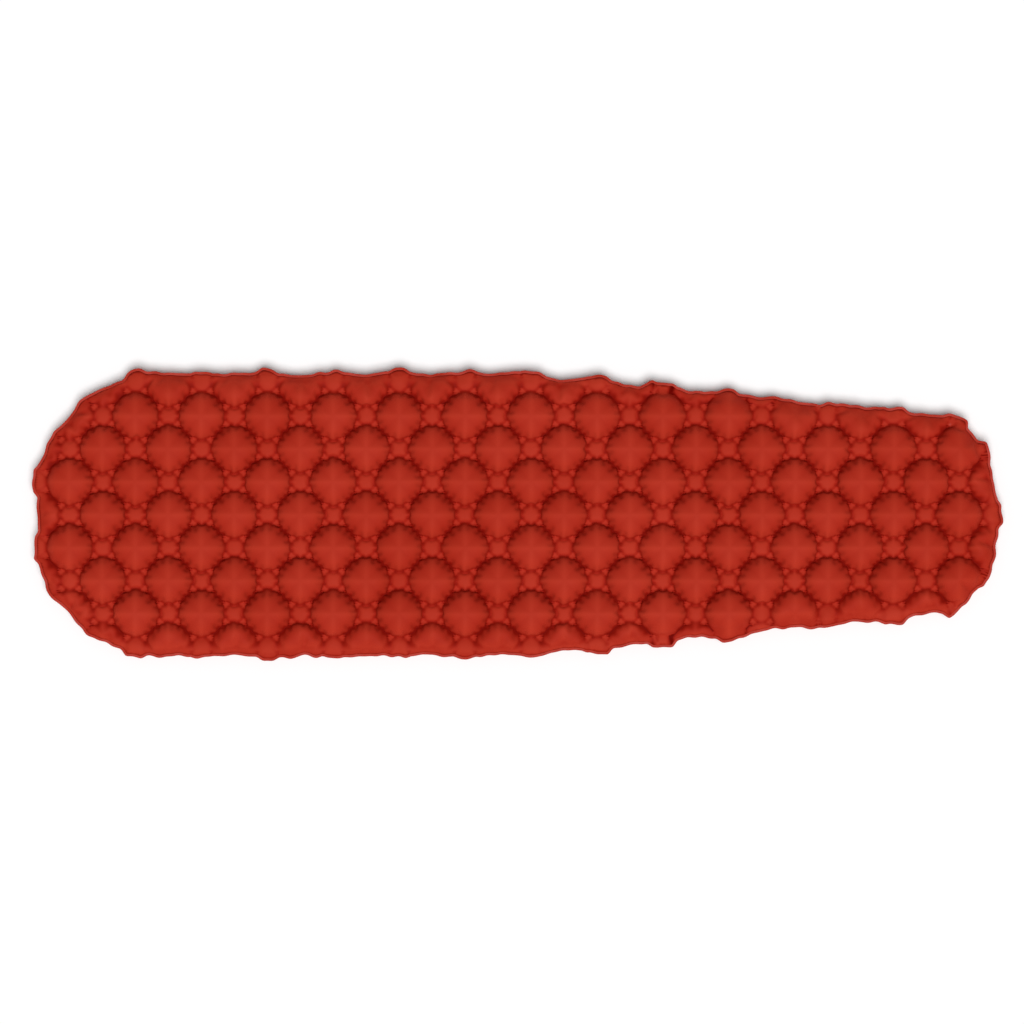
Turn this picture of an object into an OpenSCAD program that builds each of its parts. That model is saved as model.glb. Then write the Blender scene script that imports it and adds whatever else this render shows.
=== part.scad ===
// Inflatable sleeping pad: two coated sheets fused to each other along short diagonal dashes and
// round the edge, with a two-stage flat valve under the edge near the head end.
// Frame: +X runs from the head end to the foot end, +Y across and +Z up. The origin is under the
// middle of the pad, on the plane that it rests on. All sizes are in millimetres.

/* [Pad] */
// Length of the inflated pad
pad_length = 1900; // [1820:10:1960]
// Width at the shoulders
pad_width = 562; // [540:2:580]
// Width that the tapered sides would have at the foot end
foot_width = 372; // [350:2:400]
// Height of the inflated pad
pad_height = 55; // [54:1:58]
// Thickness that stands for one coated sheet
sheet_t = 1; // [0.9:0.1:1.2]
// Width of the fused band round the edge
edge_band = 8; // [7:1:9]

/* [Air cells] */
// Distance between cell centres in a row
cell_pitch = 130; // [128:1:132]
// Place along X of the middle row's cell that is nearest to the middle of the pad
cell_shift = -37.5; // [-40:0.5:-35]
// Height of the small pillow at each crossing, as a share of the cell's height
crossing_rise = 0.35; // [0.2:0.05:0.5]
// Length of one fused dash
dash_length = 48; // [40:1:70]
// Width of one fused dash
dash_width = 4; // [3:0.5:6]
// Thickness of the fused coating between the sheets
fused_t = 0.6; // [0.4:0.1:0.8]

/* [Valve] */
// Cell that holds the valve, counted from the middle cell
valve_cell = -5; // [-5:1:-1]
// Outer radius of the flange that is welded inside the lower sheet
flange_r = 17; // [16:0.5:17]
// Outer radius of the neck
neck_r = 11.5; // [11.5:0.1:12]
// Inner radius of the neck, the deflation port
neck_bore_r = 9.6; // [9.4:0.1:9.8]
// Radius of the deflation lid
lid_r = 12.5; // [12.3:0.1:12.6]
// Inner radius of the lid, the inflation port
lid_bore_r = 7.2; // [7:0.1:7.3]
// Radius of the inflation cap
cap_r = 9; // [8.8:0.1:9.2]
// Travel of the check flap
flap_travel = 1.5; // [1:0.1:1.5]

/* [Hidden] */
$fn = 64;

// Pad outline: a squarish head end, straight shoulders, a straight taper and a rounder foot end
taper_start = 20;
head_corner_l = 235;
head_end_half = 60;
head_power = 1.85;
foot_corner_l = 100;
foot_end_half = 40;
foot_power = 1.7;

// Levels and grid of the sheets
mid_z = pad_height / 2;
weld_z = fused_t / 2;
upper_gap = 0.05;
rise = mid_z - weld_z - sheet_t;
end_x = pad_length / 2;
step = cell_pitch / 4;
inset = edge_band + rise;
lattice_reach = end_x - inset - step / 2;
first_k = ceil((-lattice_reach - cell_shift) / step);
last_k = floor((lattice_reach - cell_shift) / step);
columns = [
    -end_x, -end_x + edge_band, -end_x + inset,
    for (k = [first_k:last_k]) cell_shift + k * step,
    end_x - inset, end_x - edge_band, end_x
];
last_col = len(columns) - 1;
lattice_rows = floor((pad_width / 2 - inset - step / 2) / step);
slope_row = lattice_rows + 1;
band_row = lattice_rows + 2;
edge_row = lattice_rows + 3;
row_count = 2 * edge_row + 1;
// Share of the dome above which the lower sheet lies flat on the ground
ground_share = 0.6;

// Valve, in its own frame: +Z points out of the sheet, +Y towards the edge of the pad
valve_tilt = 135;
sheet_depth = sheet_t * cos(45);
flange_t = 1;
flange_clear = 0.2;
flange_low = -sheet_depth - flange_clear - flange_t;
neck_h = 3.4;
neck_clear = 0.15;
groove_r = 10.7;
ring_low = 0.6;
ring_t = 1.2;
ring_r = 13;
gasket_t = 0.35;
face_gap = 0.05;
lid_low = neck_h + face_gap + gasket_t;
lid_t = 1.4;
lid_top = lid_low + lid_t;
skirt_r = neck_bore_r - 0.3;
skirt_low = 0.2;
seat_t = 1;
seat_ring_w = 1.2;
hub_r = 1.8;
hub_bore_r = 0.95;
stem_r = 0.9;
barb_r = 1.5;
barb_t = 0.6;
flap_r = 6.6;
flap_t = 0.6;
flap_clear = 0.02;
cap_low = lid_top + face_gap + gasket_t;
cap_t = 1.2;
cap_top = cap_low + cap_t;
cap_plug_r = lid_bore_r - 0.3;
cap_plug_low = skirt_low + seat_t + flap_travel + barb_t + 0.4;
strap_w = 7;
strap_t = 0.8;
// Each strap folds about a line on its outer face: how far out it is, and its height
lid_fold = [16.2, 2.9];
cap_strap_w = 5;
cap_fold = [cap_r + 2, lid_top + 0.7];
fold_gap = 0.3;
cap_strap_turn = -90;
tab_turn = 180;
tab_reach = 3.5;
tab_w = 8;

// Half of the pad's width at a place along its length
function half_width(x) =
    let (
        shoulder = pad_width / 2,
        foot = foot_width / 2,
        side = shoulder - (shoulder - foot) * max(0, (x - taper_start) / (end_x - taper_start)),
        head_u = max(0, (-end_x + head_corner_l - x) / head_corner_l),
        foot_u = max(0, (x - end_x + foot_corner_l) / foot_corner_l),
        head_cut = (side - head_end_half) * (1 - pow(max(0, 1 - pow(head_u, head_power)), 1 / head_power)),
        foot_cut = (side - foot_end_half) * (1 - pow(max(0, 1 - pow(foot_u, foot_power)), 1 / foot_power))
    )
    side - head_cut - foot_cut;

// Share of the full height that the inflated sheet has at a place, 0 along a weld and 1 on a cell
function puff(x, y) =
    let (
        u = 180 * (x - cell_shift + y) / cell_pitch,
        v = 180 * (x - cell_shift - y) / cell_pitch,
        dome = sqrt(abs(cos(u) * cos(v))),
        crossing = crossing_rise * pow(sin(u) * sin(v), 2)
    )
    max(dome, crossing);

// Y of row j: on the cell lattice where that fits, then spread evenly up to the sloping rim
function row_y(x, j) =
    let (
        half = half_width(x),
        whole = max(0, min(lattice_rows, floor((half - inset - step / 2) / step))),
        row = abs(j),
        free = half - inset - whole * step,
        y = row <= whole ? row * step
            : row <= slope_row ? whole * step + free * (row - whole) / (slope_row - whole)
            : row == band_row ? half - edge_band
            : half
    )
    sign(j) * y;

function on_band(i, j) = i < 2 || i > last_col - 2 || abs(j) >= band_row;
function upper_level(i, j) = on_band(i, j) ? 0 : puff(columns[i], row_y(columns[i], j));
function lower_level(i, j) = min(1, upper_level(i, j) / ground_share);

// Index of a grid point; the outer skin comes first, then the inner one
function at(i, j, skin) = skin * row_count * (last_col + 1) + i * row_count + j + edge_row;

// True where the weld line crosses a grid square from its lower right to its upper left corner
function falls(i, j) =
    let (
        x = (columns[i] + columns[i + 1]) / 2 - cell_shift,
        y = (row_y(columns[i], j) + row_y(columns[i], j + 1)) / 2,
        block = floor(x / (2 * step)) + floor(y / (2 * step))
    )
    block % 2 == 0;

function square_faces(a, b, c, d, fall) = fall ? [[a, b, d], [b, c, d]] : [[a, b, c], [a, c, d]];

// One sheet as a thin closed shell that rises from its flat edge band, seen from the weld plane
module quilted_shell(levels) {
    outer = [
        for (i = [0:last_col], j = [-edge_row:edge_row])
            [columns[i], row_y(columns[i], j), weld_z + sheet_t + rise * levels[i][j + edge_row]]
    ];
    inner = [for (p = outer) [p.x, p.y, p.z - sheet_t]];
    top = [
        for (i = [0:last_col - 1], j = [-edge_row:edge_row - 1])
            each square_faces(
                at(i, j, 0), at(i, j + 1, 0), at(i + 1, j + 1, 0), at(i + 1, j, 0), falls(i, j))
    ];
    under = [
        for (i = [0:last_col - 1], j = [-edge_row:edge_row - 1])
            for (t = square_faces(
                at(i, j, 1), at(i, j + 1, 1), at(i + 1, j + 1, 1), at(i + 1, j, 1), falls(i, j)))
                [t[2], t[1], t[0]]
    ];
    far = edge_row;
    long_rims = [
        for (i = [0:last_col - 1])
            each [
                [at(i + 1, far, 0), at(i, far, 0), at(i, far, 1), at(i + 1, far, 1)],
                [at(i, -far, 0), at(i + 1, -far, 0), at(i + 1, -far, 1), at(i, -far, 1)]
            ]
    ];
    end_rims = [
        for (j = [-far:far - 1])
            each [
                [at(0, j + 1, 0), at(0, j, 0), at(0, j, 1), at(0, j + 1, 1)],
                [at(last_col, j, 0), at(last_col, j + 1, 0), at(last_col, j + 1, 1),
                    at(last_col, j, 1)]
            ]
    ];
    polyhedron(concat(outer, inner), concat(top, under, long_rims, end_rims), convexity = 10);
}

// Outline of the edge band: ring 0 is the outer edge, ring 1 the inner side of the band
module pad_outline(ring) {
    row = edge_row - ring;
    cols = [for (i = [ring:last_col - ring]) columns[i]];
    upper = [for (x = cols) [x, row_y(x, row)]];
    lower = [for (n = [len(cols) - 1:-1:0]) [cols[n], -row_y(cols[n], row)]];
    polygon(concat(upper, lower));
}

module at_valve() {
    valve_x = cell_shift + valve_cell * cell_pitch;
    valve_y = half_width(valve_x) - edge_band - rise / 2;
    translate([valve_x, -valve_y, rise / 2])
        rotate([valve_tilt, 0, 0])
            children();
}

module ring(outer_r, inner_r, low, high) {
    translate([0, 0, low])
        difference() {
            cylinder(r = outer_r, h = high - low);
            translate([0, 0, -1])
                cylinder(r = inner_r, h = high - low + 2);
        }
}

// Flat bar of a strap, centred on X, between two places along Y and two heights
module bar(w, from, to, low, high) {
    translate([-w / 2, from, low])
        cube([w, to - from, high - low]);
}

// Finger tab on the rim of a lid, on the side that the turn gives
module finger_tab(r, turn, low, high) {
    rotate([0, 0, turn])
        difference() {
            translate([0, 0, low])
                intersection() {
                    cylinder(r = r + tab_reach, h = high - low);
                    translate([0, -tab_w / 2, 0])
                        cube([r + tab_reach, tab_w, high - low]);
                }
            translate([0, 0, low - 1])
                cylinder(r = r - 0.5, h = high - low + 2);
        }
}

module top_sheet() {
    levels = [for (i = [0:last_col]) [for (j = [-edge_row:edge_row]) upper_level(i, j)]];
    color("firebrick")
        translate([0, 0, mid_z + upper_gap])
            quilted_shell(levels);
}

module bottom_sheet() {
    levels = [for (i = [0:last_col]) [for (j = [-edge_row:edge_row]) lower_level(i, j)]];
    color("brown")
        difference() {
            translate([0, 0, mid_z])
                mirror([0, 0, 1])
                    quilted_shell(levels);
            at_valve()
                translate([0, 0, -5])
                    cylinder(r = neck_r + neck_clear, h = 10);
        }
}

// The fused dashes between neighbouring cells, each across the middle of a cell's side
module cell_welds() {
    side = cell_pitch / 2;
    reach = dash_length / 2 * sin(45) + dash_width;
    color("darkred")
        translate([0, 0, mid_z - weld_z])
            linear_extrude(fused_t)
                for (a = [-15:15], b = [-5:4]) {
                    x = cell_shift + (a + 0.5) * side;
                    y = (b + 0.5) * side;
                    inside = abs(x) < end_x - edge_band - reach
                        && abs(y) < min(half_width(x - reach), half_width(x + reach)) - edge_band - reach;
                    if (inside)
                        translate([x, y])
                            rotate((a + b) % 2 == 0 ? -45 : 45)
                                square([dash_length, dash_width], center = true);
                }
}

module edge_seam() {
    color("darkred")
        translate([0, 0, mid_z - weld_z])
            linear_extrude(fused_t)
                difference() {
                    pad_outline(0);
                    pad_outline(1);
                }
}

// Soft flange inside the sheet and the neck that comes out through it, with a groove for the straps
module valve_base() {
    color("darkslategray")
        at_valve()
            difference() {
                union() {
                    translate([0, 0, flange_low])
                        cylinder(r = flange_r, h = flange_t);
                    translate([0, 0, flange_low])
                        cylinder(r = neck_r, h = neck_h - flange_low);
                }
                translate([0, 0, flange_low - 1])
                    cylinder(r = neck_bore_r, h = neck_h - flange_low + 2);
                ring(neck_r + 1, groove_r, ring_low - 0.1, ring_low + ring_t + 0.1);
            }
}

// Ring in the neck's groove, with the half of the fold that stays on the pad
module strap_ring() {
    color("dimgray")
        at_valve()
            difference() {
                union() {
                    translate([0, 0, ring_low])
                        cylinder(r = ring_r, h = ring_t);
                    bar(strap_w, 0, lid_fold.x, ring_low, ring_low + ring_t);
                    bar(strap_w, lid_fold.x - strap_t, lid_fold.x, ring_low, lid_fold.y - fold_gap);
                }
                cylinder(r = groove_r + 0.05, h = 10);
            }
}

// Large lid with its plug; the half of the fold that moves with it is part of it
module deflation_lid() {
    color("slategray")
        at_valve()
            difference() {
                union() {
                    translate([0, 0, lid_low])
                        cylinder(r = lid_r, h = lid_t);
                    translate([0, 0, skirt_low])
                        cylinder(r = skirt_r, h = lid_low - skirt_low);
                    finger_tab(lid_r, tab_turn, lid_low, lid_top);
                    bar(strap_w, 0, lid_fold.x, lid_top - strap_t, lid_top);
                    bar(strap_w, lid_fold.x - strap_t, lid_fold.x, lid_fold.y + fold_gap, lid_top);
                    rotate([0, 0, cap_strap_turn])
                        bar(cap_strap_w, cap_fold.x - strap_t, cap_fold.x, lid_top - strap_t,
                            cap_fold.y - fold_gap);
                }
                translate([0, 0, skirt_low - 1])
                    cylinder(r = lid_bore_r, h = lid_top - skirt_low + 2);
            }
}

module lid_gasket() {
    color("black")
        at_valve()
            ring(neck_r, skirt_r, neck_h + face_gap, lid_low);
}

// Spoked seat in the lid's bore that the check flap closes against
module one_way_seat() {
    color("gray")
        at_valve()
            difference() {
                union() {
                    ring(lid_bore_r, lid_bore_r - seat_ring_w, skirt_low, skirt_low + seat_t);
                    translate([0, 0, skirt_low])
                        cylinder(r = hub_r, h = seat_t);
                    for (turn = [0, 120, 240])
                        rotate([0, 0, turn])
                            translate([hub_r - 0.5, -0.6, skirt_low])
                                cube([lid_bore_r - seat_ring_w - hub_r + 1, 1.2, seat_t]);
                }
                translate([0, 0, skirt_low - 1])
                    cylinder(r = hub_bore_r, h = seat_t + 2);
            }
}

// Thin disc under the seat, on a stem whose barb stops it after its travel
module check_flap() {
    flap_top = skirt_low - flap_clear;
    barb_low = skirt_low + seat_t + flap_travel + 0.1;
    color("whitesmoke")
        at_valve()
            union() {
                translate([0, 0, flap_top - flap_t])
                    cylinder(r = flap_r, h = flap_t);
                translate([0, 0, flap_top - flap_t])
                    cylinder(r = stem_r, h = barb_low + barb_t - flap_top + flap_t);
                translate([0, 0, barb_low])
                    cylinder(r = barb_r, h = barb_t);
            }
}

module inflation_cap() {
    color("slategray")
        at_valve()
            difference() {
                union() {
                    translate([0, 0, cap_low])
                        cylinder(r = cap_r, h = cap_t);
                    translate([0, 0, cap_plug_low])
                        cylinder(r = cap_plug_r, h = cap_low - cap_plug_low);
                    finger_tab(cap_r, tab_turn, cap_low, cap_top);
                    rotate([0, 0, cap_strap_turn]) {
                        bar(cap_strap_w, 0, cap_fold.x, cap_top - strap_t, cap_top);
                        bar(cap_strap_w, cap_fold.x - strap_t, cap_fold.x, cap_fold.y + fold_gap, cap_top);
                    }
                }
                translate([0, 0, cap_plug_low - 1])
                    cylinder(r = cap_plug_r - 1.2, h = cap_low - cap_plug_low + 0.4 + 1);
            }
}

module cap_gasket() {
    color("black")
        at_valve()
            ring(cap_r - 0.4, cap_plug_r, lid_top + face_gap, cap_low);
}

top_sheet();
bottom_sheet();
cell_welds();
edge_seam();
valve_base();
strap_ring();
deflation_lid();
lid_gasket();
one_way_seat();
check_flap();
inflation_cap();
cap_gasket();
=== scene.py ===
"""Looks of an inflatable sleeping pad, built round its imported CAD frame.

Each sheet is simulated as coated cloth on a grid whose threads lie along the fused dashes. The dashes
and the edge are held in the plane between the two sheets, the cloth between them is cut larger than the
place that it fills, and air pressure lifts it into quilted cells that pucker along the dashes.
All sizes are in metres, in the CAD frame.
"""

import math

import bpy
import numpy as np
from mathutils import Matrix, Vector


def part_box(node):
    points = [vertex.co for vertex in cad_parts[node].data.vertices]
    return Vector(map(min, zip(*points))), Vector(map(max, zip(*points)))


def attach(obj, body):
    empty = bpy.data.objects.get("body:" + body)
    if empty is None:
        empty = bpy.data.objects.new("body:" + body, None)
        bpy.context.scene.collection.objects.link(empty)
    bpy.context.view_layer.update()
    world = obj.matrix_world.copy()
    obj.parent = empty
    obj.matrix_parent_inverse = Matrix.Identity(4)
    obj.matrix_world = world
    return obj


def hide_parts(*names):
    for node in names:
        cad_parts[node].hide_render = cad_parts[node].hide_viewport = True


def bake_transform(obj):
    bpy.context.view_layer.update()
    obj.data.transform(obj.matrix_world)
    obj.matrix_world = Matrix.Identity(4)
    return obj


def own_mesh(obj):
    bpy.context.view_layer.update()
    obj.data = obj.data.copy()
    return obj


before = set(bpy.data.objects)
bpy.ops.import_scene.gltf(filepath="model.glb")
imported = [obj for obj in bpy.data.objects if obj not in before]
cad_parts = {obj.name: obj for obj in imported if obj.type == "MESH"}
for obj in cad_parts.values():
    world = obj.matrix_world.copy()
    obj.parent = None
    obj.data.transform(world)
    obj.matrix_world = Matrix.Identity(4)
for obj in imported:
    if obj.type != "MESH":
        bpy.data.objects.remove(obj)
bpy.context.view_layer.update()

SEED = 7

# Sizes that the CAD model has
CELL_PITCH = 0.130
CELL_SHIFT = -0.0375
DASH_LENGTH = 0.048
TAPER_START = 0.020
FOOT_HALF = 0.186
HEAD_CORNER = 0.235
HEAD_END_HALF = 0.060
HEAD_POWER = 1.85
FOOT_CORNER = 0.100
FOOT_END_HALF = 0.040
FOOT_POWER = 1.7

seam_low, seam_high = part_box("edge_seam")
HALF_LENGTH = (seam_high[0] - seam_low[0]) / 2
HALF_WIDTH = (seam_high[1] - seam_low[1]) / 2
MID_Z = (seam_low[2] + seam_high[2]) / 2
TOP_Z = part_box("top_sheet")[1][2]
CELL_RISE = TOP_Z - MID_Z

# Edge: the fused band, the tabs that stick out between the outer cells, and its waves
BAND = 0.0050
BAND_THICKNESS = 0.0011
TAB_OUT = 0.0070
PULL_IN = 0.0040
EDGE_WAVE = 0.0009
EDGE_WAVE_LENGTH = 0.060
EDGE_WAVE_FADE = 0.016

# Cloth: threads per cell side, how much larger it is cut than its place, and how the solver runs
CELL_THREADS = 30
EXTRA_CLOTH = 1.20
EXTRA_VARIES = 0.012
# The pillows between the dash ends are tauter, and the tautness fades between these distances
CROSSING_EXTRA = 1.055
CROSSING_NEAR = 0.016
CROSSING_FAR = 0.034
# Along the edge the seam keeps the cloth from being so much larger, over this distance
EDGE_EXTRA = 1.05
EDGE_ACROSS = 0.8
EDGE_EASE = 0.030
EDGE_PASSES = 2
EDGE_SMOOTH = (0.025, 0.055)
SETTLE_STEPS = 100
PUCKER_STEPS = 130
PASSES = 3
LIFT_PER_STEP = 2.0e-5
DAMPING = 0.97
PUSH_STIFFNESS = 0.6
SHEAR_STIFFNESS = 0.7
BEND_STIFFNESS = 0.1
PUCKER_NOISE = 0.0010
PUCKER_WAVE = 0.011
START_SHARE = 0.6
START_BRIDGE = 0.35
# How far the dashes end from the edge band, and the flat triangles at their ends
DASH_MARGIN = 0.004
NUB_LENGTH = 0.009
NUB_HALF = 0.0066
# The taut cells are a little more pointed than the solver makes them, with soft ridges from the
# top of each cell to its crossings
PEAK_POWER = 1.1
PEAK_NEAR = 0.030
PEAK_FAR = 0.046
RIDGE_HEIGHT = 0.0032
RIDGE_WIDTH = 0.014
RIDGE_SOFT = 0.0015
RIDGE_START = 0.8
RIDGE_FULL = 0.036
RIDGE_END = 0.062
RIDGE_INWARD = (0.01, 0.05)
FACET_HOLLOW = 0.05
FACET_FADE = 0.010
# Strength of the painted shade that makes the facets, the puckers, and the low ground along the dashes
# deeper in colour than the ridges; the pillows at the crossings and the flat ends of the dashes get less
# of it and stay lighter
FACET_PAINTED_SHADE = 0.46
PUCKER_PAINTED_SHADE = 0.6
PUCKER_DEPTH = (0.0002, 0.0014)
LOW_PAINTED_SHADE = 0.9
LOW_REACH = 0.013
LOW_INWARD = (0.005, 0.020)
PILLOW_SHARE = 0.25
PILLOW_REACH = (0.011, 0.019)
NUB_LIGHTER = 0.8
# Half of the gap between the two fabrics along the dashes
WELD_GAP = 0.0007
FABRIC_THICKNESS = 0.0003
# The lower sheet is a little fuller, so that its cells flatten on the ground
GROUND_FILL = 1.08
GROUND_CLEAR = 0.0002

# Valve: its own frame has +Z out of the lower sheet and +Y towards the edge of the pad
CAD_BAND = 0.008
CAD_SHEET = 0.001
CAD_FUSED = 0.0006
VALVE_CELL = -5
VALVE_RISE = MID_Z - CAD_FUSED / 2 - CAD_SHEET
VALVE_X = CELL_SHIFT + VALVE_CELL * CELL_PITCH
SLANT = math.sqrt(0.5)
VALVE_AXES = np.array([[1, 0, 0], [0, -SLANT, SLANT], [0, -SLANT, -SLANT]])
NECK_HOLE = 0.01158
LID_FOLD = (0.0162, 0.0029)
LID_STRAP = 0.007
CAP_FOLD = (0.011, 0.0059)
CAP_STRAP = 0.005
STRAP_THICKNESS = 0.0008
WEB_REACH = 0.0007
WEB_INSET = 0.0001
WEB_THIN = 0.0003
WEB_WAIST = 0.04
WEB_COLUMNS = 9
WEB_ROWS = 13
# The lower sheet is flat round the valve, and eases back to its own shape
VALVE_FLAT = 0.0195
VALVE_EASE = 0.036
VALVE_SUNK = 0.0001
HOLE_MARGIN = 0.0008


def smoothstep(low, high, value):
    t = np.clip((value - low) / (high - low), 0, 1)
    return t * t * (3 - 2 * t)


def corner_cut(side, end_half, u, power):
    """How far a rounded corner has pulled in from a side; u runs from 0 to 1 at the end."""
    return (side - end_half) * (1 - (1 - u**power) ** (1 / power))


def half_width(x):
    taper = np.clip((x - TAPER_START) / (HALF_LENGTH - TAPER_START), 0, None)
    side = HALF_WIDTH - (HALF_WIDTH - FOOT_HALF) * taper
    head_u = np.clip((HEAD_CORNER - HALF_LENGTH - x) / HEAD_CORNER, 0, 1)
    foot_u = np.clip((x - HALF_LENGTH + FOOT_CORNER) / FOOT_CORNER, 0, 1)
    head = corner_cut(side, HEAD_END_HALF, head_u, HEAD_POWER)
    foot = corner_cut(side, FOOT_END_HALF, foot_u, FOOT_POWER)
    return side - head - foot


def edge_distance(x, y):
    """Roughly how far inside the outline a point lies."""
    step = 0.002
    x = np.clip(x, step - HALF_LENGTH, HALF_LENGTH - step)
    slope = (half_width(x + step) - half_width(x - step)) / (2 * step)
    across = (half_width(x) - np.abs(y)) / np.sqrt(1 + slope**2)
    return np.minimum(across, HALF_LENGTH - np.abs(x))


def lattice_place(x, y):
    """Place in cells along the two diagonal directions; cell centres are at whole numbers."""
    return (x - CELL_SHIFT + y) / CELL_PITCH, (x - CELL_SHIFT - y) / CELL_PITCH


def crossing_distance(x, y):
    """Distance from the nearest crossing of the dash lines."""
    u, v = lattice_place(x, y)
    return np.hypot(u - np.floor(u) - 0.5, v - np.floor(v) - 0.5) * CELL_PITCH / math.sqrt(2)


def noise_field(wavelength, rng, waves=24):
    """A smooth random function of place with values of about unit size, as a sum of plane waves."""
    angle = rng.uniform(0, 2 * math.pi, waves)
    number = 2 * math.pi / (wavelength * rng.uniform(0.7, 1.4, waves))
    phase = rng.uniform(0, 2 * math.pi, waves)

    def field(points):
        arg = points[:, :1] * (np.cos(angle) * number) + points[:, 1:2] * (np.sin(angle) * number)
        return np.cos(arg + phase).sum(1) / math.sqrt(waves / 2)

    return field


def cyclic_mean(values, reach):
    """Mean over the neighbours on both sides along a closed loop."""
    total = sum(np.roll(values, k, axis=0) for k in range(-reach, reach + 1))
    return total / (2 * reach + 1)


def border_sides(quads, count):
    """The sides that only one face has, as pairs of point numbers in that face's direction."""
    sides = np.concatenate([quads[:, [k, (k + 1) % 4]] for k in range(4)])
    forward = sides[:, 0] * count + sides[:, 1]
    backward = sides[:, 1] * count + sides[:, 0]
    return sides[~np.isin(forward, backward)]


class Outline:
    """The closed edge line, walked anticlockwise from above, with the scallops of the outer cells."""

    SPACING = 0.001

    def __init__(self, rng):
        t = np.linspace(0, 1, 1200)
        xs = np.concatenate([
            -HALF_LENGTH + HEAD_CORNER * t**2,
            np.linspace(HEAD_CORNER - HALF_LENGTH, HALF_LENGTH - FOOT_CORNER, 2400)[1:-1],
            HALF_LENGTH - FOOT_CORNER * t[::-1] ** 2,
        ])
        ys = half_width(xs)
        loop = np.vstack([np.stack([xs, -ys], 1), np.stack([xs, ys], 1)[::-1]])
        loop = self.resample(np.vstack([loop, loop[:1]]))
        normal = self.normals(loop, 25)
        u, v = lattice_place(loop[:, 0], loop[:, 1])
        crossing = (np.sin(math.pi * u) * np.sin(math.pi * v)) ** 2
        cell = (np.cos(math.pi * u) * np.cos(math.pi * v)) ** 2
        vary = np.clip(1 + 0.55 * noise_field(0.10, rng)(loop), 0.15, 1.5)
        out = TAB_OUT * smoothstep(0.2, 0.62, crossing) * vary - PULL_IN * cell
        out += 0.0011 * noise_field(0.035, rng)(loop) + 0.0022 * noise_field(0.16, rng)(loop)
        loop = loop + normal * out[:, None]
        self.line = self.resample(np.vstack([loop, loop[:1]]))
        self.inner = self.line - self.normals(self.line, 12) * BAND

    @classmethod
    def resample(cls, closed):
        length = np.concatenate([[0], np.cumsum(np.linalg.norm(np.diff(closed, axis=0), axis=1))])
        count = int(length[-1] / cls.SPACING)
        place = np.linspace(0, length[-1], count, endpoint=False)
        return np.stack([np.interp(place, length, closed[:, k]) for k in (0, 1)], 1)

    @staticmethod
    def normals(loop, reach):
        along = np.roll(loop, -1, axis=0) - np.roll(loop, 1, axis=0)
        along = cyclic_mean(along, reach)
        outward = np.stack([along[:, 1], -along[:, 0]], 1)
        return outward / np.linalg.norm(outward, axis=1)[:, None]


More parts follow.
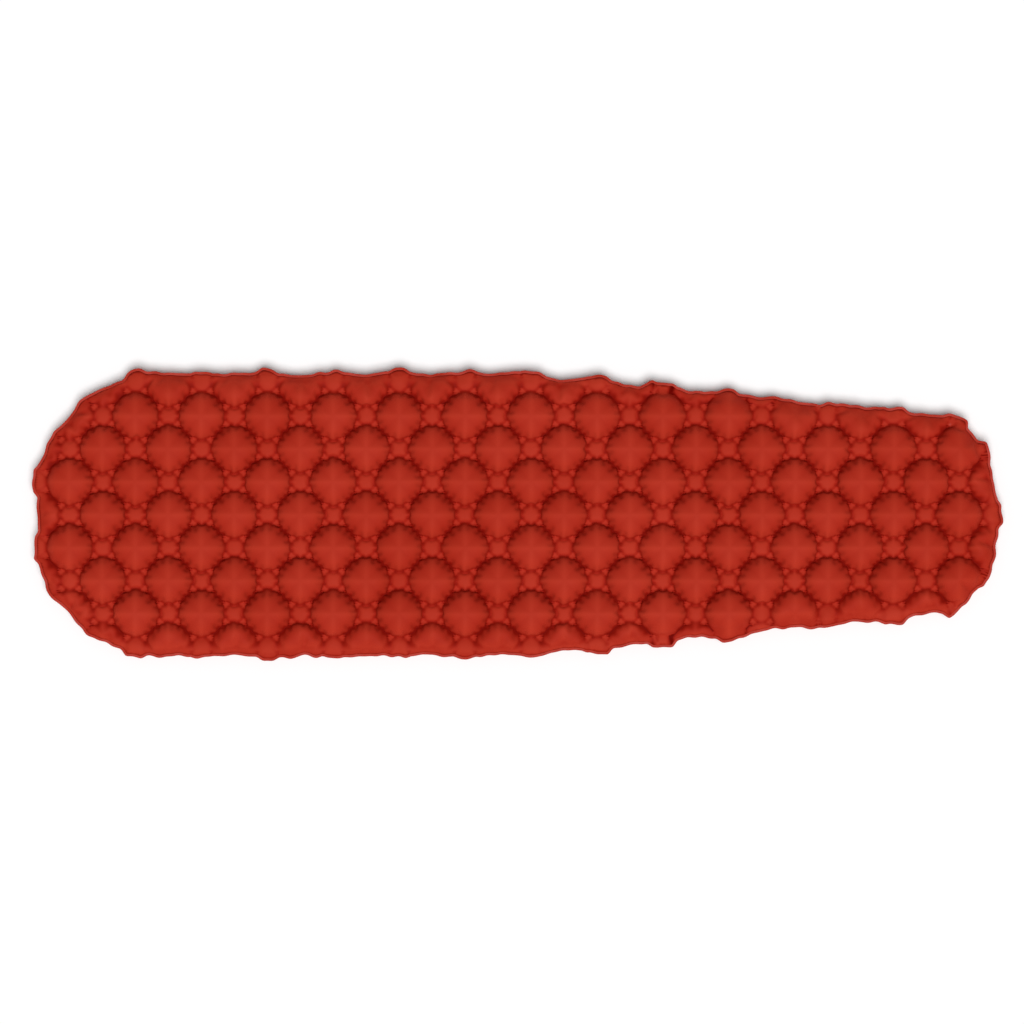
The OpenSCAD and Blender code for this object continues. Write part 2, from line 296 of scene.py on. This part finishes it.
class Cloth:
    """A sheet on a square grid turned by 45 degrees, so that its threads run along the dashes."""

    def __init__(self, threads, outline):
        reach = 11 * threads
        a, b = np.meshgrid(np.arange(-reach, reach + 1), np.arange(-reach, reach + 1), indexing="ij")
        x = CELL_SHIFT + CELL_PITCH * (a + b) / (2 * threads)
        y = CELL_PITCH * (a - b) / (2 * threads)
        inside = edge_distance(x, y) > BAND
        squares = inside[:-1, :-1] & inside[1:, :-1] & inside[:-1, 1:] & inside[1:, 1:]
        used = np.zeros_like(inside)
        count = np.zeros(inside.shape, int)
        for da in (0, 1):
            for db in (0, 1):
                part = (slice(da, da - 1 or None), slice(db, db - 1 or None))
                used[part] |= squares
                count[part] += squares
        self.number = np.full(a.shape, -1)
        self.number[used] = np.arange(used.sum())
        self.a, self.b = a[used], b[used]
        self.rest = np.stack([x[used], y[used], np.zeros(used.sum())], 1)
        self.border = count[used] < 4
        self.threads = threads
        i, j = np.nonzero(squares)
        n = self.number
        self.quads = np.stack([n[i, j], n[i, j + 1], n[i + 1, j + 1], n[i + 1, j]], 1)
        self.loop = self.border_loop()
        self.fit_edge(outline)

    def border_loop(self):
        """The border points in order, anticlockwise from above."""
        outer = border_sides(self.quads, len(self.rest))
        following = dict(outer.tolist())
        first = int(outer[0, 0])
        loop = [first]
        while following[loop[-1]] != first:
            loop.append(following[loop[-1]])
        return np.array(loop)

    def fit_edge(self, outline):
        """Moves the border onto the edge line, evenly spaced, and eases the rows behind it."""
        target = outline.inner
        near = np.array([np.argmin(((target - p) ** 2).sum(1)) for p in self.rest[self.loop, :2]])
        steps = np.diff(near, append=near[:1])
        steps = (steps + len(target) // 2) % len(target) - len(target) // 2
        steps = cyclic_mean(steps.astype(float), 6)
        place = near[0] + np.concatenate([[0], np.cumsum(steps)[:-1]])
        drift = np.arange(len(place)) / len(place) * (np.sum(steps) - len(target))
        place = (place - drift) % len(target)
        low = np.floor(place).astype(int) % len(target)
        share = (place - np.floor(place))[:, None]
        self.rest[self.loop, :2] = target[low] * (1 - share) + target[(low + 1) % len(target)] * share
        held = self.dashes() | self.border
        near_edge = (edge_distance(self.rest[:, 0], self.rest[:, 1]) < 0.030) & ~held
        for _ in range(12):
            self.rest[near_edge] = self.neighbour_mean(self.rest)[near_edge]

    def neighbour_mean(self, values):
        total = np.zeros_like(values)
        count = np.zeros(len(values))
        for k in range(4):
            for other in (self.quads[:, (k + 1) % 4], self.quads[:, (k + 3) % 4]):
                count += np.bincount(self.quads[:, k], minlength=len(values))
                for axis in range(values.shape[1]):
                    total[:, axis] += np.bincount(
                        self.quads[:, k], weights=values[other, axis], minlength=len(values))
        return total / count[:, None]

    def pairs(self, da, db, step, axis):
        """Pairs of points (a, b) and (a + da, b + db), in two groups that share no points."""
        n, pad = self.number, 3
        wide = np.full((n.shape[0] + 2 * pad, n.shape[1] + 2 * pad), -1)
        wide[pad:-pad, pad:-pad] = n
        other = wide[pad + da : pad + da + n.shape[0], pad + db : pad + db + n.shape[1]]
        both = (n >= 0) & (other >= 0)
        first, second = n[both], other[both]
        along = (self.a if axis == 0 else self.b)[first]
        parity = (along // step) % 2
        return [(first[parity == k], second[parity == k]) for k in (0, 1)]

    def dashes(self):
        """True for the points that the fused dashes hold, with small flat triangles at their ends."""
        n = self.threads
        u, v = self.a / n, self.b / n
        side = CELL_PITCH / math.sqrt(2)
        half = DASH_LENGTH / 2
        held = np.zeros(len(u), bool)
        for across, along in ((u, v), (v, u)):
            off = np.abs(across - np.floor(across) - 0.5) * side
            run = np.abs(along - np.round(along)) * side
            widened = NUB_HALF * np.maximum(run - half + NUB_LENGTH, 0) / NUB_LENGTH
            held |= (off <= widened + 0.3 * side / n) & (run <= half + 0.3 * side / n)
        x, y = self.rest[:, 0], self.rest[:, 1]
        return held & (edge_distance(x, y) > BAND + DASH_MARGIN)


def edge_direction(x, y):
    """Direction across the edge that is nearest, as a unit vector."""
    step = 0.004
    slope = np.stack([
        edge_distance(x + step, y) - edge_distance(x - step, y),
        edge_distance(x, y + step) - edge_distance(x, y - step),
    ], 1)
    return slope / (np.linalg.norm(slope, axis=1)[:, None] + 1e-12)


def cut_size(rest, first, second, vary):
    """How much larger the cloth is cut than its place, for links between pairs of points."""
    middle = (rest[first] + rest[second]) / 2
    along = rest[second] - rest[first]
    along = along / (np.linalg.norm(along, axis=1)[:, None] + 1e-12)
    across = (along[:, :2] * edge_direction(middle[:, 0], middle[:, 1])).sum(1) ** 2
    inward = edge_distance(middle[:, 0], middle[:, 1]) - BAND
    free = smoothstep(0, EDGE_EASE, inward)
    share = free + (1 - free) * across * EDGE_ACROSS
    to_crossing = crossing_distance(middle[:, 0], middle[:, 1])
    extra = EDGE_EXTRA + (EXTRA_CLOTH - EDGE_EXTRA) * share
    extra += (CROSSING_EXTRA - extra) * (1 - smoothstep(CROSSING_NEAR, CROSSING_FAR, to_crossing))
    return extra * (vary[first] + vary[second]) / 2


def cloth_links(cloth, weight, vary):
    """The threads, the diagonals and the bending links, in groups that can be solved at once."""
    rest = cloth.rest
    links = []
    for da, db, step, axis, kind in (
        (1, 0, 1, 0, "thread"), (0, 1, 1, 1, "thread"), (1, 1, 1, 0, "shear"), (1, -1, 1, 0, "shear"),
        (2, 0, 2, 0, "bend"), (0, 2, 2, 1, "bend"),
    ):
        pull = {"thread": 1.0, "shear": SHEAR_STIFFNESS, "bend": 0.0}[kind]
        for first, second in cloth.pairs(da, db, step, axis):
            total = weight[first] + weight[second]
            free = total > 0
            first, second, total = first[free], second[free], total[free]
            length = np.linalg.norm(rest[first] - rest[second], axis=1)
            length *= cut_size(rest, first, second, vary)
            share = np.stack([weight[first] / total, weight[second] / total])[:, :, None]
            links.append((kind, first, second, length.astype(np.float32), pull, share))
    return links


def air_lift(pos, quads, spacing):
    """Push of the air on each point, along the sheet's own normal."""
    diagonal = np.cross(pos[quads[:, 2]] - pos[quads[:, 0]], pos[quads[:, 3]] - pos[quads[:, 1]])
    lift = np.zeros_like(pos)
    for axis in range(3):
        for corner in range(4):
            lift[:, axis] += np.bincount(quads[:, corner], weights=diagonal[:, axis], minlength=len(pos))
    return lift * (LIFT_PER_STEP / (8 * spacing**2))


def inflate(cloth, rng):
    """Cloth with pressure: threads stop at their length, and the cloth that is left over puckers."""
    rest = cloth.rest
    held = cloth.dashes() | cloth.border
    weight = np.where(held, 0.0, 1.0).astype(np.float32)
    u, v = lattice_place(rest[:, 0], rest[:, 1])
    dome = np.sqrt(np.abs(np.cos(math.pi * u) * np.cos(math.pi * v)))
    bridge = START_BRIDGE * (np.sin(math.pi * u) * np.sin(math.pi * v)) ** 2
    inward = np.clip(edge_distance(rest[:, 0], rest[:, 1]) - BAND, 0, None)
    pos = rest.copy()
    pos[:, 2] = START_SHARE * CELL_RISE * np.maximum(dome, bridge) * np.sqrt(smoothstep(0, 0.04, inward))
    pos[held, 2] = 0
    pos = pos.astype(np.float32)
    vary = 1 + EXTRA_VARIES * noise_field(CELL_PITCH, rng)(rest)
    links = cloth_links(cloth, weight, vary)
    spacing = CELL_PITCH / math.sqrt(2) / cloth.threads
    previous = pos.copy()
    for steps, push in ((SETTLE_STEPS, 0.0), (PUCKER_STEPS, PUSH_STIFFNESS)):
        if push:
            start = PUCKER_NOISE * noise_field(PUCKER_WAVE, rng)(rest) * smoothstep(0, EDGE_EASE, inward)
            start = start.astype(np.float32)
            pos[:, 2] += start * weight
            previous[:, 2] += start * weight
        for _ in range(steps):
            lift = air_lift(pos, cloth.quads, spacing) * weight[:, None]
            previous, pos = pos, pos + (pos - previous) * DAMPING + lift
            for kind, first, second, length, pull, share in links * PASSES:
                gap = pos[second] - pos[first]
                size = np.sqrt((gap * gap).sum(1)) + 1e-9
                stretch = (size - length) / size
                resist = BEND_STIFFNESS if kind == "bend" else push * pull
                move = gap * (stretch * np.where(stretch > 0, pull, resist))[:, None]
                pos[first] += move * share[0]
                pos[second] -= move * share[1]
            pos[:, 2] = np.maximum(pos[:, 2], 0)
    return pos.astype(float)


def point_normals(points, quads):
    face = np.cross(points[quads[:, 2]] - points[quads[:, 0]], points[quads[:, 3]] - points[quads[:, 1]])
    normal = np.zeros_like(points)
    for axis in range(3):
        for corner in range(4):
            normal[:, axis] += np.bincount(quads[:, corner], weights=face[:, axis], minlength=len(points))
    return normal / (np.linalg.norm(normal, axis=1)[:, None] + 1e-12)


def closed_faces(quads, count):
    """Faces of a closed sheet: one face, the other with its numbers higher by count, and the rim."""
    rim = border_sides(quads, count)
    walls = np.stack([rim[:, 1], rim[:, 0], rim[:, 0] + count, rim[:, 1] + count], 1)
    return np.vstack([quads, quads[:, ::-1] + count, walls])


def shell(points, quads, thickness):
    """A closed sheet: the points are its outer face, and the inner face lies the thickness behind it."""
    count = len(points)
    inner = points - point_normals(points, quads) * thickness
    return np.vstack([points, inner]), closed_faces(quads, count)


def mesh_object(name, points, faces, smooth=True):
    mesh = bpy.data.meshes.new(name)
    mesh.from_pydata(np.asarray(points).tolist(), [], np.asarray(faces).tolist())
    mesh.update()
    if smooth:
        mesh.shade_smooth()
    obj = bpy.data.objects.new(name, mesh)
    bpy.context.scene.collection.objects.link(obj)
    return obj


def add_painted_shade(obj, values):
    """Stores the painted shade of each point, for the material."""
    attribute = obj.data.attributes.new("painted_shade", "FLOAT", "POINT")
    attribute.data.foreach_set("value", values.astype(np.float32))


# ---- materials ----


class Surface:
    """A node material with a Principled shader and small helpers for colour, roughness and bump."""

    def __init__(self, name, roughness, colour=None, **sockets):
        self.material = bpy.data.materials.new(name)
        self.material.use_nodes = True
        self.nodes = self.material.node_tree.nodes
        self.links = self.material.node_tree.links
        self.shader = self.nodes["Principled BSDF"]
        self.shader.inputs["Roughness"].default_value = roughness
        if colour:
            self.shader.inputs["Base Color"].default_value = (*colour, 1)
        for socket, value in sockets.items():
            self.shader.inputs[socket.replace("_", " ")].default_value = value
        self.place = self.nodes.new("ShaderNodeTexCoord").outputs["Object"]
        self.height = None

    def noise(self, scale, detail=3, rough=0.5, stretch=None):
        texture = self.nodes.new("ShaderNodeTexNoise")
        texture.inputs["Scale"].default_value = scale
        texture.inputs["Detail"].default_value = detail
        texture.inputs["Roughness"].default_value = rough
        self.links.new(self.stretched(stretch), texture.inputs["Vector"])
        return texture.outputs["Fac"]

    def stretched(self, stretch):
        if not stretch:
            return self.place
        mapping = self.nodes.new("ShaderNodeMapping")
        mapping.inputs["Scale"].default_value = stretch
        self.links.new(self.place, mapping.inputs["Vector"])
        return mapping.outputs["Vector"]

    def threads(self, spacing, direction):
        texture = self.nodes.new("ShaderNodeTexWave")
        texture.bands_direction = direction
        texture.inputs["Scale"].default_value = 1 / (spacing * 3.18)
        texture.inputs["Distortion"].default_value = 0.4
        self.links.new(self.place, texture.inputs["Vector"])
        return texture.outputs["Fac"]

    def math(self, operation, first, second):
        node = self.nodes.new("ShaderNodeMath")
        node.operation = operation
        for socket, value in zip(node.inputs, (first, second)):
            if isinstance(value, (int, float)):
                socket.default_value = value
            else:
                self.links.new(value, socket)
        return node.outputs["Value"]

    def attribute(self, name):
        node = self.nodes.new("ShaderNodeAttribute")
        node.attribute_name = name
        return node.outputs["Fac"]

    def ramp(self, factor, *stops):
        node = self.nodes.new("ShaderNodeValToRGB")
        elements = node.color_ramp.elements
        while len(elements) < len(stops):
            elements.new(0.5)
        for element, (position, colour) in zip(elements, stops):
            element.position = position
            element.color = (*colour, 1)
        self.links.new(factor, node.inputs["Fac"])
        return node.outputs["Color"]

    def mix(self, factor, first, second):
        node = self.nodes.new("ShaderNodeMix")
        node.data_type = "RGBA"
        self.links.new(factor, node.inputs["Factor"])
        for socket, value in ((node.inputs["A"], first), (node.inputs["B"], second)):
            if isinstance(value, tuple):
                socket.default_value = (*value, 1)
            else:
                self.links.new(value, socket)
        return node.outputs["Result"]

    def colour(self, source):
        self.links.new(source, self.shader.inputs["Base Color"])

    def roughness(self, factor, low, high):
        node = self.nodes.new("ShaderNodeMapRange")
        node.inputs["To Min"].default_value = low
        node.inputs["To Max"].default_value = high
        self.links.new(factor, node.inputs["Value"])
        self.links.new(node.outputs["Result"], self.shader.inputs["Roughness"])

    def bump(self, height, distance, strength=1.0):
        node = self.nodes.new("ShaderNodeBump")
        node.inputs["Strength"].default_value = strength
        node.inputs["Distance"].default_value = distance
        self.links.new(height, node.inputs["Height"])
        if self.height:
            self.links.new(self.height, node.inputs["Normal"])
        self.height = node.outputs["Normal"]
        self.links.new(self.height, self.shader.inputs["Normal"])


def coated_fabric(name, light, deep, painted_mid_shade, painted_shade):
    """Matt woven nylon with a coating: fine threads, soft wrinkles, and painted shade in the creases, on the
    facets and on the low ground.
    """
    surface = Surface(name, 0.55, Specular_IOR_Level=0.02)
    tone = surface.ramp(surface.noise(5.5, 4, 0.55), (0.30, deep), (0.70, light))
    # Fine random mottling mixes in a little of the darkest painted shade colour.
    fine = surface.math("MULTIPLY", surface.noise(900, 2, 0.6), 0.16)
    tone = surface.mix(fine, tone, painted_shade)
    # The painted shade amount of each point darkens the tone, through the mid painted shade colour to the
    # darkest.
    painted_shade_amount = surface.attribute("painted_shade")
    surface.colour(surface.mix(painted_shade_amount, tone, surface.ramp(painted_shade_amount, (0.5, painted_mid_shade), (1.0, painted_shade))))
    surface.roughness(surface.noise(60, 3), 0.42, 0.58)
    warp = surface.threads(0.00055, "X")
    weft = surface.threads(0.00055, "Y")
    surface.bump(surface.math("MULTIPLY", warp, weft), 0.00006, 0.5)
    surface.bump(surface.noise(190, 3, 0.5), 0.00045, 0.35)
    return surface.material


def fused_band(name, light, deep):
    """Two fabrics pressed into one by heat: flatter, shinier and finely embossed."""
    surface = Surface(name, 0.46, Specular_IOR_Level=0.14)
    surface.colour(surface.ramp(surface.noise(40, 3, 0.6), (0.3, deep), (0.7, light)))
    surface.roughness(surface.noise(120, 2), 0.34, 0.5)
    emboss = surface.math("MULTIPLY", surface.threads(0.0011, "X"), surface.threads(0.0011, "Y"))
    surface.bump(emboss, 0.00012, 0.6)
    surface.bump(surface.noise(260, 2), 0.0003, 0.3)
    return surface.material


def moulded(name, colour, worn, roughness, grain, **sockets):
    """Moulded plastic or rubber: a fine grain, slight mottling and paler scuffs."""
    surface = Surface(name, roughness, **sockets)
    mottled = surface.ramp(surface.noise(70, 4, 0.6), (0.25, tuple(c * 0.8 for c in colour)), (0.8, colour))
    scuff = surface.ramp(surface.noise(420, 5, 0.7, (1, 0.35, 1)), (0.62, (0, 0, 0)), (0.80, (0.6, 0.6, 0.6)))
    surface.colour(surface.mix(scuff, mottled, worn))
    surface.roughness(surface.noise(240, 3), roughness - 0.07, roughness + 0.09)
    surface.bump(surface.noise(2600, 3, 0.6), grain, 0.6)
    return surface.material


def give_material(node, material):
    """Puts a material in every slot of a CAD node's object."""
    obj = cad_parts[node]
    if not obj.material_slots:
        obj.data.materials.append(material)
    for slot in obj.material_slots:
        slot.material = material


# ---- pieces ----


def edge_falloff(points):
    """1 at the edge band, 0 well inside the pad."""
    inward = np.maximum(edge_distance(points[:, 0], points[:, 1]) - BAND, 0)
    return np.exp(-((inward / EDGE_WAVE_FADE) ** 2))


def cell_ridges(rest):
    """Distance from the cell's centre, and 1 on its ridges falling to 0 on its facets."""
    u, v = lattice_place(rest[:, 0], rest[:, 1])
    u, v = u - np.round(u), v - np.round(v)
    radius = np.hypot(u, v) * CELL_PITCH / math.sqrt(2)
    along = np.abs(u + v) * CELL_PITCH / 2
    across = np.abs(u - v) * CELL_PITCH / 2
    ridge = np.zeros(len(rest))
    for off, run in ((along, across), (across, along)):
        tent = np.exp(-(np.sqrt(off**2 + RIDGE_SOFT**2) - RIDGE_SOFT) / RIDGE_WIDTH)
        reach = RIDGE_START + (1 - RIDGE_START) * smoothstep(0, RIDGE_FULL, run)
        ridge = np.maximum(ridge, tent * reach * (1 - smoothstep(RIDGE_FULL, RIDGE_END, run)))
    return radius, ridge


def painted_shade_per_point(points, cloth):
    """How much painted shade each point gets, from 0 to 1, on the dash lines, in the puckers, on the facets
    and on the low ground; the flat ends of the dashes stay clear.
    """
    mean = points.copy()
    for _ in range(3):
        mean = cloth.neighbour_mean(mean)
    # Painted shade in the puckers, where a point lies below its neighbours.
    below = PUCKER_PAINTED_SHADE * smoothstep(*PUCKER_DEPTH, mean[:, 2] - points[:, 2])
    radius, ridge = cell_ridges(cloth.rest)
    # Painted shade on the facets, away from the ridges.
    facet = FACET_PAINTED_SHADE * (1 - ridge) * (1 - smoothstep(PEAK_FAR, PEAK_FAR + FACET_FADE, radius))
    x, y = cloth.rest[:, 0], cloth.rest[:, 1]
    # Painted shade on the low ground near the dashes, less at the pillows by the crossings.
    low = LOW_PAINTED_SHADE * (1 - smoothstep(0, LOW_REACH, points[:, 2]))
    low *= smoothstep(*LOW_INWARD, edge_distance(x, y) - BAND)
    low *= PILLOW_SHARE + (1 - PILLOW_SHARE) * smoothstep(*PILLOW_REACH, crossing_distance(x, y))
    # Painted shade along the dash lines, lifted at the flat ends of the dashes.
    dash = np.where(cloth.dashes(), 1.0, 0.0)
    beside = cloth.neighbour_mean(dash[:, None])[:, 0]
    wide = np.minimum(1, 2 * cloth.neighbour_mean((dash * (beside > 0.6))[:, None])[:, 0])
    painted_shade_amount = np.maximum.reduce([below, facet, low, np.minimum(1, 2 * beside)])
    return painted_shade_amount * (1 - NUB_LIGHTER * wide)


def ease_edge(cloth, shape):
    """Smooths small crumples beside the edge, where the band keeps the cloth taut."""
    loose = ~(cloth.dashes() | cloth.border)
    inward = edge_distance(cloth.rest[:, 0], cloth.rest[:, 1]) - BAND
    share = (loose * (1 - smoothstep(*EDGE_SMOOTH, inward)))[:, None]
    for _ in range(round(EDGE_PASSES * (cloth.threads / 30) ** 2)):
        shape = shape + (cloth.neighbour_mean(shape) - shape) * share
    return shape


def pointed_cells(cloth, shape):
    """Makes the cells more pointed, with ridges from each cell's top towards its four crossings."""
    radius, ridge = cell_ridges(cloth.rest)
    height = shape[:, 2]
    peaked = CELL_RISE * (np.maximum(height, 0) / CELL_RISE) ** PEAK_POWER
    height = height + (peaked - height) * (1 - smoothstep(PEAK_NEAR, PEAK_FAR, radius))
    within = 1 - smoothstep(PEAK_FAR, PEAK_FAR + FACET_FADE, radius)
    height = height * (1 - FACET_HOLLOW * (1 - ridge) * within)
    inward = edge_distance(cloth.rest[:, 0], cloth.rest[:, 1])
    height = height + RIDGE_HEIGHT * ridge * smoothstep(*RIDGE_INWARD, inward)
    return np.column_stack([shape[:, :2], height])


def make_top(cloth, shape, wave, material):
    points = shape + [0, 0, MID_Z + WELD_GAP]
    points[:, 2] += wave(points) * edge_falloff(points)
    verts, faces = shell(points, cloth.quads, FABRIC_THICKNESS)
    top = mesh_object("top_fabric", verts, faces)
    # Both faces of the shell carry the painted shade amounts.
    add_painted_shade(top, np.tile(painted_shade_per_point(shape, cloth), 2))
    top.data.materials.append(material)
    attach(top, "lower")
    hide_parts("top_sheet")
    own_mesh(top)
    return top


def valve_origin():
    across = float(half_width(np.array(VALVE_X)))
    return np.array([VALVE_X, -(across - CAD_BAND - VALVE_RISE / 2), VALVE_RISE / 2])


def valve_point(x, y, z):
    """A place in the valve's own frame, in the frame of the pad."""
    return tuple(valve_origin() + VALVE_AXES.T @ np.array([x, y, z]))


def fold_web(name, width, fold, turn, material):
    """The thin bend of a strap between its two stiff halves; it is thinnest along the fold line."""
    out, height = fold
    columns = np.linspace(-width / 2, width / 2, WEB_COLUMNS)
    rows = np.linspace(-1, 1, WEB_ROWS)
    spin = np.array([[math.cos(turn), -math.sin(turn)], [math.sin(turn), math.cos(turn)]])
    points = []
    for side in (0, 1):
        for row in rows:
            thick = WEB_THIN + (STRAP_THICKNESS - 2 * WEB_INSET - WEB_THIN) * row**2
            outer = out - WEB_INSET - (STRAP_THICKNESS - 2 * WEB_INSET - thick) / 2
            for column in columns:
                place = spin @ np.array([column * (1 - WEB_WAIST * (1 - row**2)), outer - side * thick])
                points.append(valve_point(place[0], place[1], height + row * WEB_REACH))
    across = len(columns)
    size = across * len(rows)
    i, j = np.meshgrid(np.arange(len(rows) - 1), np.arange(across - 1), indexing="ij")
    i, j = i.ravel(), j.ravel()
    front = np.stack([i * across + j, (i + 1) * across + j, (i + 1) * across + j + 1, i * across + j + 1], 1)
    web = mesh_object(name, points, closed_faces(front, size))
    web.data.materials.append(material)
    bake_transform(web)
    return web


def make_bottom(cloth, shape, wave, material):
    """The lower sheet: the same cells turned down, flat on the ground and flat round the valve."""
    points = shape * [1, 1, -GROUND_FILL] + [0, 0, MID_Z - WELD_GAP]
    points[:, 2] += wave(points) * edge_falloff(points)
    points[:, 2] = np.maximum(points[:, 2], GROUND_CLEAR)
    local = (points - valve_origin()) @ VALVE_AXES.T
    radius = np.hypot(local[:, 0], local[:, 1])
    flat = 1 - smoothstep(VALVE_FLAT, VALVE_EASE, radius)
    local[:, 2] = local[:, 2] * (1 - flat) - VALVE_SUNK * flat
    hole = np.all(radius[cloth.quads] < NECK_HOLE + HOLE_MARGIN, axis=1)
    kept = cloth.quads[~hole]
    ring = np.isin(np.arange(len(points)), cloth.quads[hole]) & np.isin(np.arange(len(points)), kept)
    local[ring, :2] *= (NECK_HOLE / radius[ring])[:, None]
    points = local @ VALVE_AXES + valve_origin()
    points[:, 2] = np.maximum(points[:, 2], GROUND_CLEAR)
    used = np.zeros(len(points), bool)
    used[kept] = True
    number = np.cumsum(used) - 1
    verts, faces = shell(points[used], number[kept][:, ::-1], FABRIC_THICKNESS)
    bottom = mesh_object("bottom_fabric", verts, faces)
    # Both faces of the shell carry the painted shade amounts.
    add_painted_shade(bottom, np.tile(painted_shade_per_point(shape, cloth)[used], 2))
    bottom.data.materials.append(material)
    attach(bottom, "lower")
    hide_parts("bottom_sheet")
    return bottom


def make_band(outline, wave, material):
    """The fused edge band as one closed, rippled strip with a bead along its inner side."""
    step = 2
    inner = outline.inner[::step]
    outer = outline.line[::step]
    # Place across the band, from inside the cells to the outer edge, and half of its thickness there
    profile = [
        (-0.20, 0.45), (0.06, 0.50), (0.16, 0.66), (0.30, 0.50), (0.62, 0.44), (0.76, 0.54), (0.94, 0.42),
        (1.00, 0.18),
    ]
    ring = [(place, half) for place, half in profile] + [(place, -half) for place, half in profile[::-1]]
    rows = []
    for place, half in ring:
        line = inner + (outer - inner) * place
        height = MID_Z + half * BAND_THICKNESS + wave(line)
        rows.append(np.column_stack([line, height]))
    count, around = len(inner), len(ring)
    points = np.stack(rows, 1).reshape(-1, 3)
    i, j = np.meshgrid(np.arange(count), np.arange(around), indexing="ij")
    i, j = i.ravel(), j.ravel()
    after, beside = (i + 1) % count, (j + 1) % around
    faces = np.stack([i * around + j, i * around + beside, after * around + beside, after * around + j], 1)
    band = mesh_object("edge_band", points, faces)
    band.data.materials.append(material)
    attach(band, "lower")
    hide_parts("edge_seam")
    return band


rng = np.random.default_rng(SEED)
outline = Outline(rng)
cloth = Cloth(CELL_THREADS, outline)
edge_wave_field = noise_field(EDGE_WAVE_LENGTH, rng)


def edge_wave(points):
    return EDGE_WAVE * edge_wave_field(points)


# Darkest painted shade colour; of each fabric's colours below, the first two are its own random tone, the
# third its mid painted shade and the last the darkest painted shade.
DEEPEST_PAINTED_SHADE = (0.15, 0.0015, 0.0002)
upper_red = coated_fabric(
    "upper_fabric", (0.50, 0.040, 0.020), (0.45, 0.032, 0.015), (0.27, 0.0008, 0.0001), DEEPEST_PAINTED_SHADE)
lower_red = coated_fabric(
    "lower_fabric", (0.43, 0.034, 0.017), (0.38, 0.027, 0.013), (0.23, 0.0008, 0.0001), DEEPEST_PAINTED_SHADE)
band_red = fused_band("fused_band", (0.45, 0.027, 0.011), (0.38, 0.019, 0.007))

shape = inflate(cloth, rng)
shape = ease_edge(cloth, shape)
shape = pointed_cells(cloth, shape)
make_top(cloth, shape, edge_wave, upper_red)
make_bottom(cloth, shape, edge_wave, lower_red)
make_band(outline, edge_wave, band_red)

soft_black = moulded("valve_soft", (0.030, 0.030, 0.033), (0.09, 0.09, 0.09), 0.55, 0.00006)
lid_grey = moulded("valve_lid", (0.050, 0.050, 0.055), (0.12, 0.12, 0.12), 0.42, 0.00004)
cap_grey = moulded("valve_cap", (0.070, 0.070, 0.076), (0.15, 0.15, 0.15), 0.40, 0.00004)
seat_grey = moulded("valve_seat", (0.30, 0.30, 0.31), (0.40, 0.40, 0.40), 0.38, 0.00003)
silicone = moulded("flap_silicone", (0.72, 0.72, 0.70), (0.80, 0.80, 0.78), 0.35, 0.00002,
                   Transmission_Weight=0.25, Subsurface_Weight=0.1)
gasket = moulded("gasket", (0.020, 0.020, 0.020), (0.05, 0.05, 0.05), 0.6, 0.00005)
for node, material in (
    ("cell_welds", band_red), ("valve_base", soft_black), ("strap_ring", soft_black),
    ("deflation_lid", lid_grey), ("lid_gasket", gasket), ("one_way_seat", seat_grey),
    ("check_flap", silicone), ("inflation_cap", cap_grey), ("cap_gasket", gasket),
):
    give_material(node, material)

fold_web("lid_fold_web", LID_STRAP, LID_FOLD, 0, lid_grey)
fold_web("cap_fold_web", CAP_STRAP, CAP_FOLD, -math.pi / 2, cap_grey)

# ---- stage ----

# The pad is seen from straight above, from far off: the width of the picture at the pad's edge
CAMERA_LENS = 140
PICTURE_WIDTH = 2.022
PICTURE_MIDDLE = (-0.010, 0.005)
FLOOR_HALF = 25
KEY_DIRECTION = (0.06, -0.30, 0.95)
KEY_SPREAD = 46
KEY_STRENGTH = 3.0
SKY_STRENGTH = 0.15

floor_corners = [(x * FLOOR_HALF, y * FLOOR_HALF, 0) for x, y in ((-1, -1), (1, -1), (1, 1), (-1, 1))]
floor = mesh_object("floor", floor_corners, [(0, 1, 2, 3)], smooth=False)
floor_white = Surface("floor", 0.9, (0.96, 0.96, 0.96), Specular_IOR_Level=0.1)
floor.data.materials.append(floor_white.material)


def sun_light(name, direction, spread, strength):
    """A broad, even light from one side, as a large soft box gives; the spread is in degrees."""
    data = bpy.data.lights.new(name, "SUN")
    data.angle = math.radians(spread)
    data.energy = strength
    light = bpy.data.objects.new(name, data)
    light.rotation_euler = Vector(direction).to_track_quat("Z", "Y").to_euler()
    light.location = Vector(direction) * 3
    bpy.context.scene.collection.objects.link(light)
    return light


sun_light("key", KEY_DIRECTION, KEY_SPREAD, KEY_STRENGTH)

world = bpy.data.worlds.new("studio")
world.use_nodes = True
world.node_tree.nodes["Background"].inputs["Color"].default_value = (1, 1, 1, 1)
world.node_tree.nodes["Background"].inputs["Strength"].default_value = SKY_STRENGTH
bpy.context.scene.world = world
bpy.context.scene.view_settings.view_transform = "Standard"

camera_data = bpy.data.cameras.new("camera")
camera_data.lens = CAMERA_LENS
camera_data.clip_end = 100
camera = bpy.data.objects.new("camera", camera_data)
camera_height = MID_Z + PICTURE_WIDTH * CAMERA_LENS / camera_data.sensor_width
camera.location = (*PICTURE_MIDDLE, camera_height)
bpy.context.scene.collection.objects.link(camera)
bpy.context.scene.camera = camera
